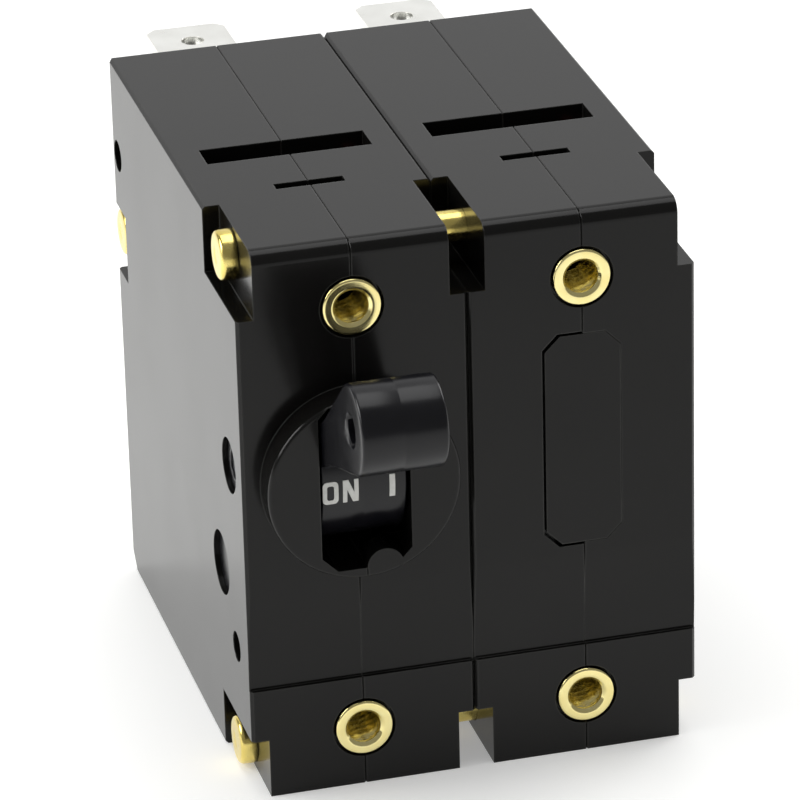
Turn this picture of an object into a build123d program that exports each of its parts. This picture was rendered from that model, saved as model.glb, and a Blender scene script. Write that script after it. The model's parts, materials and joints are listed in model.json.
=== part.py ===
"""Two-pole panel-mount circuit breaker with one toggle handle, in millimetres.

Each pole is a magnetic-hydraulic breaker in a riveted two-half case. The poles stand
side by side. A rod joins their switching hubs, and a trip bar joins their trip levers.

Sub-parts are drawn in the pole frame: X across the pole with 0 on its parting plane,
Y from the front face towards the terminals, Z up from the base. place() moves them to
the row frame: +Z up, handle towards -Y, origin at the middle of the base of the box
that holds the whole breaker.
"""
import os
from math import cos, radians, sin

from build123d import *

# Case
POLE_PITCH = 19.05
POLE_WIDTH = 19.0
CASE_DEPTH = 45.4
CASE_HEIGHT = 48.5
CAVITY_HALF = 7.0
FRONT_WALL = 3.0
BACK_WALL = 3.6
ROOF = 2.0
FLOOR = 2.0
CORNER_BLOCK_DEPTH = 11.2
CORNER_TOP_Z = 39.5
CORNER_BASE_Z = 8.5
SIDE_EDGE = 0.25
SEAM_GROOVE = 0.09
TOP_FRONT_RADIUS = 1.2
BACK_BASE_CHAMFER = 1.5

# Panel step across the foot of the front face
SLOPE_TOP_Z = 18.3
STEP_Z = 9.8
STEP_DEPTH = 0.35

# Corner reliefs that take the rivet heads: (y0, y1, z0, z1)
RELIEF_DEPTH = 1.44
RELIEFS = (
    (-1.0, 10.7, 42.8, CASE_HEIGHT + 1.0),
    (-1.0, 10.1, -1.0, 5.2),
    (41.6, CASE_DEPTH + 1.0, 29.0, 35.2),
)
RIVET_SEATS = ((6.3, 46.05), (6.3, 2.3), (43.8, 33.0))
RIVET_SHANK_R = 1.3
RIVET_HEAD_R = 2.1
RIVET_HEAD_HEIGHT = 1.4
RIVET_ROLLED_R = 1.5
RIVET_ROLLED_HEIGHT = 0.45

# Arc vents in the roof: (half width, y0, y1)
VENTS = ((6.975, 19.3, 22.5), (2.9, 12.4, 13.5))

# Threaded inserts that take the panel screws
INSERT_Z = (42.9, 5.15)
INSERT_BORE_R = 1.4
INSERT_FLANGE_R = 2.45
INSERT_BODY_R = 2.0
INSERT_LENGTH = 4.8
INSERT_PROUD = 0.15
INSERT_FLANGE_T = 1.0

# Handle boss and slot
BOSS_R = 8.0
BOSS_HEIGHT = 2.75
BOSS_Z = 28.2
SLOT_HALF = 3.75
SLOT_Z = (21.1, 35.6)
SLOT_CORNERS = (1.3, 0.9)
SLOT_LIP_R = 1.5

# Blanking plug of the pole with no handle
PLUG_HALF = 3.2
PLUG_Z = (19.3, 37.9)
PLUG_CORNERS = (1.3, 1.3)
PLUG_FACE_T = 0.7
PLUG_FLANGE = 0.8
PLUG_T = 1.3

# Handle
PIVOT_Y, PIVOT_Z = 4.5, 28.35
HANDLE_HALF = 3.5
HANDLE_REACH = 19.6
HANDLE_ON_ANGLE = 30.0
HANDLE_TIP_R = 3.7
HANDLE_NECK_HALF = 1.8
HANDLE_TIE_BORE_R = 1.4
DRUM_R = 6.9
DRUM_ABOVE_ANGLE = 41.0
DRUM_BELOW_ANGLE = 78.0
DRUM_PLAY = 0.3
HUB_R = 2.9
SPRING_POCKET_R = 3.3
TRUNNION_R = 2.3
TRUNNION_END = 9.1
ROD_R = 1.2
CLEARANCE = 0.05

# Legend printed on the drum
LETTER_HEIGHT = 2.0
LETTER_WIDTH = 1.3
STROKE = 0.36
INK_T = 0.06
LEGEND_ANGLE = 33.0

# Toggle linkage, as it stands with the handle at ON
CRANK_R = 4.6
CRANK_ANGLE = 20.0
CRANK_HALF = 1.6
CRANK_PIN_R = 0.75
ARM_Y, ARM_Z = 27.2, 24.0
ARM_STUD_Y, ARM_STUD_Z = 28.2, 32.0
ARM_STUD_R = 0.8
ARM_STUD_PLAY = 0.42
LINK_PLATE_X = (1.85, 2.65)

# Contact arm and contacts
ARM_HUB_R = 2.6
ARM_HUB_HALF = 4.0
ARM_PIN_R = 1.0
BLADE_HALF = 1.4
BLADE_Y = (26.9, 29.3)
BLADE_TOP_Z = 40.3
CONTACT_Z = 38.0
CONTACT_R = 2.0
CONTACT_T = 1.0
CONTACT_GAP = 0.1

# Terminals
TAB_HALF = 3.5
TAB_T = 1.0
TAB_END_Y = 58.5
TAB_CORNER = 0.8
TAB_HOLE_R = 1.0
TAB_HOLE_FROM_END = 3.6
TAB_SHOULDER_HALF = 5.0
TAB_SHOULDER_Y = (39.7, 41.7)
LINE_TAB_Z = 45.0
LINE_LEG_Y = 31.3
LOAD_TAB_Z = 3.5
LOAD_TAB_FRONT_Y = 37.0

# Arc chute
ARC_PLATES = 7
ARC_PLATE_PITCH = 2.3
ARC_PLATE_T = 0.8
ARC_PLATE_HALF = 6.0
ARC_Z = (41.2, 45.4)
ARC_FIRST_Y = 14.2

# Magnet: coil, dashpot, frame and armature
MAGNET_Z = 11.5
TUBE_R = 3.3
TUBE_BORE_R = 2.9
TUBE_Y = (18.7, 41.3)
BOBBIN_Y = (19.0, 38.0)
BOBBIN_FLANGE_R = 6.6
BOBBIN_BARREL_R = 4.2
COIL_R = 6.2
COIL_TURNS = 14
CORE_R = 2.75
CORE_Y = (32.0, 40.6)
POLE_PIECE_R = 3.8
POLE_PIECE_Y = 17.5
FRAME_HALF = 4.6
FRAME_T = 1.4
FRAME_TOP_Z = 19.8
ARMATURE_Y, ARMATURE_Z = 17.2, 19.1
ARMATURE_HALF = 3.7
ARMATURE_PIN_R = 0.75
ARMATURE_PLATE_Y = (15.0, 16.2)

# Common trip
TRIP_Y, TRIP_Z = 8.8, 17.6
TRIP_BAR_R = 2.65
TRIP_HOLE_R = 2.75
SETTING_HOLE = (4.3, 12.0, 1.3)
JIG_HOLE = (43.5, 40.2, 1.4)

ROW_FRONT = PIVOT_Y - HANDLE_REACH * cos(radians(HANDLE_ON_ANGLE)) - HANDLE_TIP_R
ROW_MID_Y = (ROW_FRONT + TAB_END_Y) / 2
POLES = {1: -POLE_PITCH / 2, 2: POLE_PITCH / 2}


def block(x, y, z):
    """Box between pairs of limits on each axis."""
    size = [high - low for low, high in (x, y, z)]
    middle = [(high + low) / 2 for low, high in (x, y, z)]
    return Pos(*middle) * Box(*size)


def rod_x(y, z, radius, x):
    """Round bar along X between two limits."""
    return Pos((x[0] + x[1]) / 2, y, z) * Rot(0, 90, 0) * Cylinder(radius, x[1] - x[0])


def rod_y(x, z, radius, y):
    """Round bar along Y between two limits."""
    return Pos(x, (y[0] + y[1]) / 2, z) * Rot(90, 0, 0) * Cylinder(radius, y[1] - y[0])


def side_plate(points, x):
    """Plate with an outline of (y, z) points, from x[0] to x[1]."""
    face = Plane.YZ.offset(x[0]) * Polygon(*points, align=None)
    return extrude(face, x[1] - x[0], dir=(1, 0, 0))


def front_plate(points, y):
    """Plate with an outline of (x, z) points, from y[0] to y[1]."""
    face = Plane.XZ.offset(-y[0]) * Polygon(*points, align=None)
    return extrude(face, y[1] - y[0], dir=(0, 1, 0))


def chamfered_outline(half, z, foot, head):
    """Outline of an upright slot with corners cut by foot and head, as (x, z) points."""
    low, high = z
    return [
        (foot - half, low), (half - foot, low), (half, low + foot), (half, high - head),
        (half - head, high), (head - half, high), (-half, high - head), (-half, low + foot),
    ]


def polar(radius, angle, y=PIVOT_Y, z=PIVOT_Z):
    """Point at an angle from +Y towards +Z about an X axis through (y, z)."""
    return (y + radius * cos(radians(angle)), z + radius * sin(radians(angle)))


def about_pivot(shape, angle):
    """Turn a shape about the handle's pivot axis."""
    return Pos(0, PIVOT_Y, PIVOT_Z) * Rot(angle, 0, 0) * Pos(0, -PIVOT_Y, -PIVOT_Z) * shape


def helix_spring(radius, wire, turns, length, leg=0.0):
    """Round-wire spring along +Z from the origin, with straight legs if leg is set."""
    path = Helix(length / turns, length, radius)
    spring = sweep(Plane(path @ 0, z_dir=path % 0) * Circle(wire), path, is_frenet=True)
    if leg:
        for end, way in ((0, -1), (1, 1)):
            start = path @ end
            legs = extrude(Plane(start, z_dir=(path % end) * way) * Circle(wire), leg)
            spring += legs
    return spring


def place(pole, shape):
    """Move a shape from the pole frame to the row frame."""
    return Pos(POLES[pole], -ROW_MID_Y, 0) * shape


def write(node, *shapes):
    """Write one sub-part's solids as parts/NODE.step."""
    solids = [solid for shape in shapes for solid in shape.solids()]
    export_step(Compound(children=solids), f"parts/{node}.step")


# Case ---------------------------------------------------------------------------------
def case_shell(pole):
    """Outside of one pole's right half, before its openings are cut."""
    half = POLE_WIDTH / 2
    shell = block((0, half), (0, CASE_DEPTH), (0, CASE_HEIGHT))
    top_front = shell.edges().filter_by(Axis.X).sort_by(lambda edge: edge.center().Z - edge.center().Y)
    shell = fillet(top_front[-1], TOP_FRONT_RADIUS)
    back_base = shell.edges().filter_by(Axis.X).sort_by(lambda edge: edge.center().Y - edge.center().Z)
    shell = chamfer(back_base[-1], BACK_BASE_CHAMFER)
    shell = chamfer(shell.faces().sort_by(Axis.X)[-1].edges(), SIDE_EDGE)
    shell = chamfer(shell.faces().sort_by(Axis.X)[0].edges(), SEAM_GROOVE)
    if pole == 1:
        boss = rod_y(0, BOSS_Z, BOSS_R, (-BOSS_HEIGHT, 1.0))
        boss = fillet(boss.edges().sort_by(Axis.Y)[0], 0.35)
        boss &= block((0, 2 * BOSS_R), (-2 * BOSS_HEIGHT, 1.0), (0, CASE_HEIGHT))
        groove = Pos(0, -BOSS_HEIGHT, BOSS_Z) * Rot(0, 0, 45) * Box(
            SEAM_GROOVE * 1.4, SEAM_GROOVE * 1.4, 3 * BOSS_R)
        shell = shell + boss - groove
    for y0, y1, z0, z1 in RELIEFS:
        shell -= block((half - RELIEF_DEPTH, half + 1), (y0, y1), (z0, z1))
    foot = [(-0.5, SLOPE_TOP_Z), (0, SLOPE_TOP_Z), (STEP_DEPTH, STEP_Z), (-0.5, STEP_Z)]
    return shell - side_plate(foot, (-1, half + 1))


def case_cavity():
    """Hollow of one half, with the openings that both poles share."""
    depth = CASE_DEPTH - BACK_WALL
    far = POLE_WIDTH / 2 + 1
    cavity = block((-1, CAVITY_HALF), (FRONT_WALL, depth), (CORNER_BASE_Z, CORNER_TOP_Z))
    cavity += block((-1, CAVITY_HALF), (CORNER_BLOCK_DEPTH, depth), (FLOOR, CASE_HEIGHT - ROOF))
    for half, y0, y1 in VENTS:
        cavity += block((-1, half), (y0, y1), (CASE_HEIGHT - ROOF - 1, CASE_HEIGHT + 1))
    for y, z in RIVET_SEATS:
        cavity += rod_x(y, z, RIVET_SHANK_R + CLEARANCE, (-1, far))
    cavity += rod_x(PIVOT_Y, PIVOT_Z, TRUNNION_R + CLEARANCE, (-1, far))
    cavity += rod_x(TRIP_Y, TRIP_Z, TRIP_HOLE_R, (-1, far))
    cavity += rod_x(SETTING_HOLE[0], SETTING_HOLE[1], SETTING_HOLE[2], (CAVITY_HALF - 1, far))
    cavity += rod_x(JIG_HOLE[0], JIG_HOLE[1], JIG_HOLE[2], (CAVITY_HALF + 0.8, far))
    cavity += rod_x(ARM_Y, ARM_Z, ARM_PIN_R + CLEARANCE / 2, (-1, CAVITY_HALF + 1))
    for z in INSERT_Z:
        cavity += rod_y(0, z, INSERT_FLANGE_R + 0.2, (-1, INSERT_FLANGE_T - INSERT_PROUD + 0.05))
        cavity += rod_y(0, z, INSERT_BODY_R + 0.02, (-1, INSERT_LENGTH + 0.1))
    for z in (LINE_TAB_Z, LOAD_TAB_Z):
        cavity += block((-1, TAB_HALF + CLEARANCE), (depth - 1, CASE_DEPTH + 1),
                        (z - TAB_T / 2 - CLEARANCE, z + TAB_T / 2 + CLEARANCE))
    return cavity


def front_opening(pole, side):
    """Handle slot of pole 1, or the plug's stepped seat and hub space of pole 2."""
    if pole == 1:
        slot = front_plate(chamfered_outline(SLOT_HALF, SLOT_Z, *SLOT_CORNERS), (-5, 4))
        return slot + rod_x(PIVOT_Y, PIVOT_Z, DRUM_R + DRUM_PLAY, (-SLOT_HALF, SLOT_HALF))
    gap = 0.22 if side < 0 else 0.03
    low, high = PLUG_Z
    seat = chamfered_outline(PLUG_HALF + gap, (low - gap, high + gap), *PLUG_CORNERS)
    rim = PLUG_FLANGE + CLEARANCE
    rebate = chamfered_outline(PLUG_HALF + rim, (low - rim, high + rim), *PLUG_CORNERS)
    opening = front_plate(seat, (-1, PLUG_FACE_T + 0.1))
    opening += front_plate(rebate, (PLUG_FACE_T, PLUG_T + CLEARANCE))
    return opening + block((-SLOT_HALF, SLOT_HALF), (PLUG_T, FRONT_WALL + 1), SLOT_Z)


def terminal_keepers():
    """Ribs in front of the terminal shoulders, at the top and the bottom."""
    ribs = Part()
    for z, limits in ((LINE_TAB_Z, (44.0, CASE_HEIGHT - ROOF + 0.5)), (LOAD_TAB_Z, (FLOOR - 0.5, 4.5))):
        ribs += block((TAB_HALF + 0.2, CAVITY_HALF + 0.5), (38.3, TAB_SHOULDER_Y[0] - CLEARANCE), limits)
    return ribs


def half_case(pole, side):
    """One moulded case half: side is -1 for left, +1 for right."""
    half = case_shell(pole) - case_cavity() + terminal_keepers()
    half -= front_opening(pole, side)
    if pole == 1:
        half -= rod_x(PIVOT_Y, PIVOT_Z, SPRING_POCKET_R, (0, CAVITY_HALF))
    if pole == 1 and side > 0:
        lip = rod_y(SLOT_LIP_R, SLOT_Z[0], SLOT_LIP_R, (-BOSS_HEIGHT, -0.5))
        half += lip & block((0, 2 * SLOT_LIP_R), (-BOSS_HEIGHT, 0), (SLOT_Z[0] - 0.2, SLOT_Z[1]))
    return half if side > 0 else mirror(half, Plane.YZ)


def rivet(y, z):
    """Brass rivet through both poles: a flat head on the left, a rolled end on the right."""
    seat = POLE_PITCH / 2 + POLE_WIDTH / 2 - RELIEF_DEPTH
    body = rod_x(y, z, RIVET_SHANK_R, (-seat - 0.5, seat + 0.2))
    head = rod_x(y, z, RIVET_HEAD_R, (-seat - RIVET_HEAD_HEIGHT, -seat))
    head = fillet(head.edges().filter_by(GeomType.CIRCLE).sort_by(Axis.X)[0], 0.35)
    rolled = rod_x(y, z, RIVET_ROLLED_R, (seat, seat + RIVET_ROLLED_HEIGHT))
    rolled = fillet(rolled.edges().filter_by(GeomType.CIRCLE).sort_by(Axis.X)[-1], 0.2)
    return Pos(0, -ROW_MID_Y, 0) * (body + head + rolled)


def panel_insert(z):
    """Flanged brass insert with a plain bore of the thread's minor diameter."""
    front = -INSERT_PROUD
    body = rod_y(0, z, INSERT_BODY_R, (front, INSERT_LENGTH))
    flange = rod_y(0, z, INSERT_FLANGE_R, (front, front + INSERT_FLANGE_T))
    flange = fillet(flange.edges().filter_by(GeomType.CIRCLE).sort_by(Axis.Y)[0], 0.3)
    bore = rod_y(0, z, INSERT_BORE_R, (front - 1, INSERT_LENGTH + 1))
    body = body + flange - bore
    mouth = body.edges().filter_by(GeomType.CIRCLE).filter_by(
        lambda edge: abs(edge.radius - INSERT_BORE_R) < 1e-3).sort_by(Axis.Y)[0]
    return chamfer(mouth, 0.25)


def slot_plug():
    """Blanking plug, flush with the front face, with a hidden rim."""
    low, high = PLUG_Z
    face = front_plate(chamfered_outline(PLUG_HALF, PLUG_Z, *PLUG_CORNERS), (0, PLUG_T))
    rim_z = (low - PLUG_FLANGE, high + PLUG_FLANGE)
    rim = chamfered_outline(PLUG_HALF + PLUG_FLANGE, rim_z, *PLUG_CORNERS)
    return face + front_plate(rim, (PLUG_FACE_T + 0.1 + CLEARANCE, PLUG_T))


# Handle -------------------------------------------------------------------------------
def hub_and_crank():
    """Hub with side trunnions and one crank lobe, bored for the coupling rod."""
    hub = rod_x(PIVOT_Y, PIVOT_Z, HUB_R, (-HANDLE_HALF, HANDLE_HALF))
    hub += rod_x(PIVOT_Y, PIVOT_Z, TRUNNION_R, (-TRUNNION_END, TRUNNION_END))
    pin = polar(CRANK_R, CRANK_ANGLE)
    web = [polar(CRANK_PIN_R * 2, CRANK_ANGLE + turn, *pin) for turn in (-90, 90)]
    root = [polar(HUB_R * 0.9, CRANK_ANGLE + turn) for turn in (75, -75)]
    hub += side_plate(web + root, (-CRANK_HALF, CRANK_HALF))
    hub += rod_x(*pin, CRANK_PIN_R * 2, (-CRANK_HALF, CRANK_HALF))
    hub -= rod_x(*pin, CRANK_PIN_R, (-CRANK_HALF - 1, CRANK_HALF + 1))
    return hub - rod_x(PIVOT_Y, PIVOT_Z, ROD_R, (-TRUNNION_END - 1, TRUNNION_END + 1))


def drum():
    """Sector of a cylinder behind the slot, carrying the legend."""
    sector = rod_x(PIVOT_Y, PIVOT_Z, DRUM_R, (-HANDLE_HALF, HANDLE_HALF))
    reach = 2 * DRUM_R
    centre = (PIVOT_Y, PIVOT_Z)
    wedge = [centre, polar(reach, 180 - DRUM_ABOVE_ANGLE), (PIVOT_Y - reach, PIVOT_Z),
             polar(reach, 180 + DRUM_BELOW_ANGLE / 2), polar(reach, 180 + DRUM_BELOW_ANGLE)]
    return sector & side_plate(wedge, (-HANDLE_HALF, HANDLE_HALF))


def lever():
    """Round tip and tapered neck of the handle, pointing straight out along -Y."""
    tip_y = PIVOT_Y - HANDLE_REACH
    blend_y = PIVOT_Y - HANDLE_REACH * 0.5
    width = (-HANDLE_HALF, HANDLE_HALF)
    slope = radians(78)
    shoulder = (tip_y + HANDLE_TIP_R * cos(slope), HANDLE_TIP_R * sin(slope))
    upper = [shoulder, (blend_y, HANDLE_NECK_HALF), (PIVOT_Y - HUB_R, HANDLE_NECK_HALF)]
    outline = [(y, PIVOT_Z + w) for y, w in upper]
    outline += [(y, PIVOT_Z - w) for y, w in reversed(upper)]
    arm = side_plate(outline, width) + rod_x(tip_y, PIVOT_Z, HANDLE_TIP_R, width)
    return arm - rod_x(tip_y, PIVOT_Z, HANDLE_TIE_BORE_R, (-HANDLE_HALF - 1, HANDLE_HALF + 1))


def handle():
    """Moulded handle at its ON position."""
    bore = rod_x(PIVOT_Y, PIVOT_Z, ROD_R, (-TRUNNION_END - 1, TRUNNION_END + 1))
    toggle = about_pivot(lever() + drum(), -HANDLE_ON_ANGLE) - bore
    return toggle + hub_and_crank()


def letter(kind, x, angle):
    """One upright letter on the drum, centred at x and at an angle below the lever."""
    wide, tall, pen = LETTER_WIDTH / 2, LETTER_HEIGHT / 2, STROKE
    box = Rectangle(2 * wide, 2 * tall)
    if kind == "I":
        shape = Rectangle(1.3 * pen, 2 * tall)
    elif kind == "O":
        ring = RectangleRounded(2 * wide, 2 * tall, 0.6 * wide)
        shape = ring - RectangleRounded(2 * (wide - pen), 2 * (tall - pen), 0.3 * wide)
    elif kind == "N":
        slant = [(-wide, tall), (wide - 1.3 * pen, -tall), (wide, -tall), (1.3 * pen - wide, tall)]
        shape = Polygon(*slant, align=None)
        for way in (-1, 1):
            shape += Pos(way * (wide - pen / 2), 0) * Rectangle(pen, 2 * tall)
    else:
        shape = Pos(pen / 2 - wide, 0) * Rectangle(pen, 2 * tall)
        shape += Pos(0, tall - pen / 2) * Rectangle(2 * wide, pen)
        shape += Pos(-0.1 * wide, 0) * Rectangle(1.8 * wide, pen)
    stamp = extrude(Plane.XZ * (shape & box), 2 * DRUM_R)
    stamp = Pos(x, PIVOT_Y, PIVOT_Z) * stamp
    ink = rod_x(PIVOT_Y, PIVOT_Z, DRUM_R + INK_T, (-HANDLE_HALF, HANDLE_HALF))
    ink -= rod_x(PIVOT_Y, PIVOT_Z, DRUM_R, (-HANDLE_HALF - 1, HANDLE_HALF + 1))
    return about_pivot(stamp, angle) & ink


def legend():
    """ON and I below the lever, OFF and O above it."""
    below = LEGEND_ANGLE - HANDLE_ON_ANGLE
    above = -LEGEND_ANGLE - HANDLE_ON_ANGLE
    marks = [("O", -2.82, below), ("N", -1.15, below), ("I", 2.3, below)]
    marks += [("O", -2.82, above), ("F", -1.3, above), ("F", 0.2, above), ("O", 2.6, above)]
    return [letter(*mark) for mark in marks]


def crank_pin():
    """Pin through the crank lobe, carrying the toggle link."""
    return rod_x(*polar(CRANK_R, CRANK_ANGLE), CRANK_PIN_R - 0.01, (-3.0, 3.0))


# Toggle link and contact arm ----------------------------------------------------------
def toggle_link():
    """Two side plates and a bridge, from the crank pin to the contact arm's studs."""
    start = Vector(0, *polar(CRANK_R, CRANK_ANGLE))
    span = Vector(0, ARM_STUD_Y, ARM_STUD_Z) - start
    length = span.length
    low, high = LINK_PLATE_X
    near_r, far_r = 1.45, 2.2
    outline = [(0, -near_r), (length, -near_r), (length, near_r), (0, near_r)]
    plate = side_plate(outline, (low, high))
    plate += rod_x(0, 0, near_r, (low, high)) + rod_x(length, 0, far_r, (low, high))
    plate -= rod_x(0, 0, CRANK_PIN_R + CLEARANCE, (low - 1, high + 1))
    plate -= rod_x(length, 0, ARM_STUD_R + ARM_STUD_PLAY, (low - 1, high + 1))
    link = plate + mirror(plate, Plane.YZ)
    link += block((-low - 0.2, low + 0.2), (7, 11), (0.4, near_r))
    tilt = Vector(0, 1, 0).get_signed_angle(span, Vector(1, 0, 0))
    return Pos(*start) * Rot(tilt, 0, 0) * link


def contact_arm():
    """Blade on a pivot hub, with the two studs that the toggle link drives."""
    hub_x = (-ARM_HUB_HALF, ARM_HUB_HALF)
    arm = block((-BLADE_HALF, BLADE_HALF), BLADE_Y, (ARM_Z, BLADE_TOP_Z))
    arm += rod_x(ARM_Y, ARM_Z, ARM_HUB_R, hub_x)
    arm += rod_x(ARM_STUD_Y, ARM_STUD_Z, ARM_STUD_R, (-3.0, 3.0))
    return arm - rod_x(ARM_Y, ARM_Z, ARM_PIN_R + CLEARANCE, (-ARM_HUB_HALF - 1, ARM_HUB_HALF + 1))


def arm_pin():
    """Pin that carries the contact arm between the case halves."""
    return rod_x(ARM_Y, ARM_Z, ARM_PIN_R, (-CAVITY_HALF - 0.9, CAVITY_HALF + 0.9))


def contact_button(y):
    """Silver contact button of the stated thickness range along Y."""
    button = rod_y(0, CONTACT_Z, CONTACT_R, y)
    return button


def arm_spring():
    """Torsion spring beside the contact arm's hub."""
    spring = helix_spring(1.75, 0.22, 4, 2.0, leg=4.5)
    return Pos(4.5, ARM_Y, ARM_Z) * Rot(0, 90, 0) * spring


def handle_spring():
    """Torsion spring round the handle's right trunnion."""
    spring = helix_spring(2.75, 0.2, 4, 2.2, leg=3.0)
    return Pos(4.2, PIVOT_Y, PIVOT_Z) * Rot(0, 90, 0) * Rot(0, 0, 90) * spring


def braid():
    """Flexible copper braid from the contact arm round the frame to the coil."""
    radius = 0.7
    points = [(0, 29.4, 26.2), (0, 34.0, 26.2), (5.6, 35.2, 24.0), (5.6, 35.2, 15.9)]
    path = FilletPolyline(*points, radius=[1.8, 1.8])
    return sweep(Plane(path @ 0, z_dir=path % 0) * Circle(radius), path)


# Terminals and arc chute --------------------------------------------------------------
def terminal_tab(z, front_y):
    """Flat tab through the back wall, with shoulders and a latch hole."""
    level = (z - TAB_T / 2, z + TAB_T / 2)
    tab = block((-TAB_HALF, TAB_HALF), (front_y, TAB_END_Y), level)
    ends = tab.edges().filter_by(Axis.Z).group_by(Axis.Y)[-1]
    tab = chamfer(ends, TAB_CORNER)
    tab += block((-TAB_SHOULDER_HALF, TAB_SHOULDER_HALF), TAB_SHOULDER_Y, level)
    return tab - Pos(0, TAB_END_Y - TAB_HOLE_FROM_END, z) * Cylinder(TAB_HOLE_R, 3 * TAB_T)


def line_terminal():
    """Upper terminal, bent down inside to carry the fixed contact."""
    span = (CONTACT_Z - CONTACT_R - 0.6, LINE_TAB_Z + TAB_T / 2)
    leg = block((-TAB_HALF, TAB_HALF), (LINE_LEG_Y, LINE_LEG_Y + TAB_T), span)
    return terminal_tab(LINE_TAB_Z, LINE_LEG_Y) + leg


def load_terminal():
    """Lower terminal, ending under the coil."""
    return terminal_tab(LOAD_TAB_Z, LOAD_TAB_FRONT_Y)


def arc_plate(index):
    """One steel arc plate with a notch for the arc root."""
    y = ARC_FIRST_Y + index * ARC_PLATE_PITCH
    low, high = ARC_Z
    half = ARC_PLATE_HALF
    outline = [(-half, low), (-2.0, low), (-0.5, low + 2.4), (0.5, low + 2.4), (2.0, low),
               (half, low), (half, high), (-half, high)]
    return front_plate(outline, (y, y + ARC_PLATE_T))


def arc_side(side):
    """Fibre side wall that the arc plates stand between."""
    near, far = sorted((side * (ARC_PLATE_HALF + CLEARANCE), side * (ARC_PLATE_HALF + 0.85)))
    last = ARC_FIRST_Y + (ARC_PLATES - 1) * ARC_PLATE_PITCH + ARC_PLATE_T
    return block((near, far), (ARC_FIRST_Y - 0.8, last + 0.8), (ARC_Z[0] - 0.4, ARC_Z[1] + 0.8))


# Magnet -------------------------------------------------------------------------------
def dashpot_tube():
    """Sealed tube that holds the sliding core in fluid."""
    tube = rod_y(0, MAGNET_Z, TUBE_R, TUBE_Y)
    return tube - rod_y(0, MAGNET_Z, TUBE_BORE_R, (TUBE_Y[0] - 1, TUBE_Y[1] - 0.5))


def pole_piece():
    """Steel plug that closes the tube and faces the armature."""
    face = rod_y(0, MAGNET_Z, POLE_PIECE_R, (POLE_PIECE_Y, TUBE_Y[0]))
    return face + rod_y(0, MAGNET_Z, TUBE_BORE_R - 0.02, (TUBE_Y[0] - 0.1, TUBE_Y[0] + 2.2))


def core():
    """Sliding core, at rest at the rear of the tube."""
    slug = rod_y(0, MAGNET_Z, CORE_R, CORE_Y)
    return chamfer(slug.edges().filter_by(GeomType.CIRCLE), 0.3)


def core_spring():
    """Compression spring between the core and the pole piece."""
    start = TUBE_Y[0] + 2.2 + CLEARANCE
    length = CORE_Y[0] - start - CLEARANCE - 0.4
    spring = helix_spring(2.2, 0.2, 9, length)
    return Pos(0, start + 0.2, MAGNET_Z) * Rot(-90, 0, 0) * spring


def bobbin():
    """Flanged former that the coil is wound on."""
    spool = rod_y(0, MAGNET_Z, BOBBIN_BARREL_R, BOBBIN_Y)
    for y in (BOBBIN_Y[0], BOBBIN_Y[1] - 1.0):
        spool += rod_y(0, MAGNET_Z, BOBBIN_FLANGE_R, (y, y + 1.0))
    return spool - rod_y(0, MAGNET_Z, TUBE_R + CLEARANCE, (BOBBIN_Y[0] - 1, BOBBIN_Y[1] + 1))


def coil():
    """Winding of heavy round wire, drawn as touching rings on a common sleeve."""
    low, high = BOBBIN_Y[0] + 1.05, BOBBIN_Y[1] - 1.05
    pitch = (high - low) / COIL_TURNS
    winding = rod_y(0, MAGNET_Z, COIL_R - pitch / 2, (low, high))
    for turn in range(COIL_TURNS):
        ring = Torus(COIL_R - pitch / 2, pitch / 2 - 0.01)
        winding += Pos(0, low + pitch * (turn + 0.5), MAGNET_Z) * Rot(90, 0, 0) * ring
    return winding - rod_y(0, MAGNET_Z, BOBBIN_BARREL_R + CLEARANCE, (low - 1, high + 1))


def magnet_frame():
    """Steel angle round the coil, with two ears for the armature pin."""
    back = BOBBIN_Y[1] + 0.5
    width = (-FRAME_HALF, FRAME_HALF)
    frame = block(width, (ARMATURE_Y + 1.8, back + FRAME_T), (FRAME_TOP_Z - FRAME_T, FRAME_TOP_Z))
    frame += block(width, (back, back + FRAME_T), (5.2, FRAME_TOP_Z))
    frame -= rod_y(0, MAGNET_Z, TUBE_R + CLEARANCE, (back - 1, back + FRAME_T + 1))
    for way in (-1, 1):
        near, far = sorted((way * (ARMATURE_HALF + 0.2), way * FRAME_HALF))
        ear = block((near, far), (ARMATURE_Y - 1.4, ARMATURE_Y + 2.2), (17.8, FRAME_TOP_Z))
        frame += ear
    return frame - rod_x(ARMATURE_Y, ARMATURE_Z, ARMATURE_PIN_R, (-FRAME_HALF - 1, FRAME_HALF + 1))


def armature_pin():
    """Pin between the frame's ears."""
    return rod_x(ARMATURE_Y, ARMATURE_Z, ARMATURE_PIN_R - 0.01, (-FRAME_HALF, FRAME_HALF))


def armature():
    """Hinged steel plate in front of the pole piece, with a striker finger."""
    width = (-ARMATURE_HALF, ARMATURE_HALF)
    plate = block(width, ARMATURE_PLATE_Y, (5.2, ARMATURE_Z))
    plate += rod_x(ARMATURE_Y, ARMATURE_Z, 1.4, width)
    plate += block((-1.5, 1.5), (12.2, ARMATURE_Y), (ARMATURE_Z + 0.8, ARMATURE_Z + 1.8))
    plate += block((-1.5, 1.5), (15.0, ARMATURE_Y), (ARMATURE_Z - 0.5, ARMATURE_Z + 1.8))
    bore = rod_x(ARMATURE_Y, ARMATURE_Z, ARMATURE_PIN_R + CLEARANCE,
                 (-ARMATURE_HALF - 1, ARMATURE_HALF + 1))
    return plate - bore


def armature_spring():
    """Compression spring that holds the armature off the pole piece."""
    start = ARMATURE_PLATE_Y[1] + 0.25
    spring = helix_spring(0.85, 0.15, 4, BOBBIN_Y[0] - start - 0.3)
    return Pos(0, start, 6.2) * Rot(-90, 0, 0) * spring


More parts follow.
